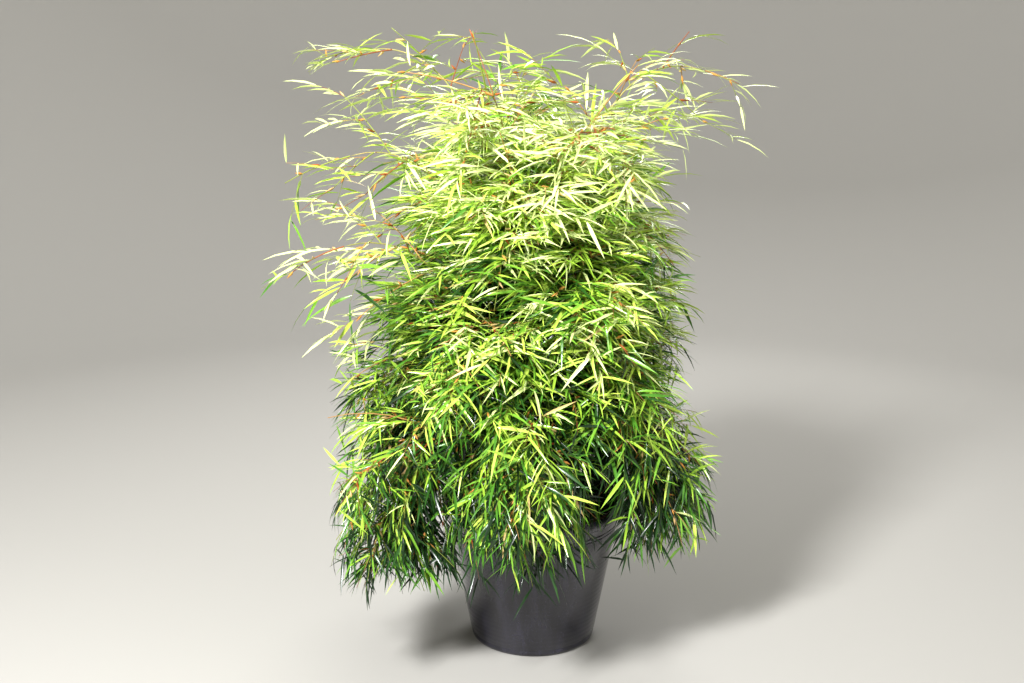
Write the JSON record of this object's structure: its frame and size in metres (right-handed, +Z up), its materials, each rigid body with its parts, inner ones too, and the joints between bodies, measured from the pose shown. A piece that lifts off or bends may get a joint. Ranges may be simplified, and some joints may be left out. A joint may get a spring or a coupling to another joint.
{
  "type": "potted bamboo",
  "caption": "Weeping bamboo clump in a round tapered pot: arching canes with drooping leafy sprays down to the rim and open shoots at the top.",
  "frame": {"origin": "centre of the pot's flat underside", "axes": "+Z up, -Y towards the viewer of the picture, +X to the viewer's right"},
  "size_m": [1.3203, 1.0441, 1.6685],
  "materials": {
    "pot": "dark slate glaze, glossy",
    "soil": "dark moist potting soil",
    "cane": "smooth olive to tan cane",
    "leaf": "satin yellow-green leaf"
  },
  "bodies": {
    "root": {"pot": "pot", "soil": "soil", "cane_01": "cane", "cane_02": "cane", "cane_03": "cane", "cane_04": "cane", "cane_05": "cane", "cane_06": "cane", "cane_07": "cane", "cane_08": "cane", "cane_09": "cane", "cane_10": "cane", "cane_11": "cane", "cane_12": "cane", "cane_13": "cane", "cane_14": "cane", "cane_15": "cane", "cane_16": "cane", "cane_17": "cane", "cane_18": "cane", "cane_19": "cane", "cane_20": "cane", "cane_21": "cane", "cane_22": "cane", "cane_23": "cane", "cane_24": "cane", "leaves_01": "leaf", "leaves_02": "leaf", "leaves_03": "leaf", "leaves_04": "leaf", "leaves_05": "leaf", "leaves_06": "leaf", "leaves_07": "leaf", "leaves_08": "leaf", "leaves_09": "leaf", "leaves_10": "leaf", "leaves_11": "leaf", "leaves_12": "leaf", "leaves_13": "leaf", "leaves_14": "leaf", "leaves_15": "leaf", "leaves_16": "leaf", "leaves_17": "leaf", "leaves_18": "leaf", "leaves_19": "leaf", "leaves_20": "leaf", "leaves_21": "leaf", "leaves_22": "leaf", "leaves_23": "leaf", "leaves_24": "leaf"}
  },
  "joints": []
}
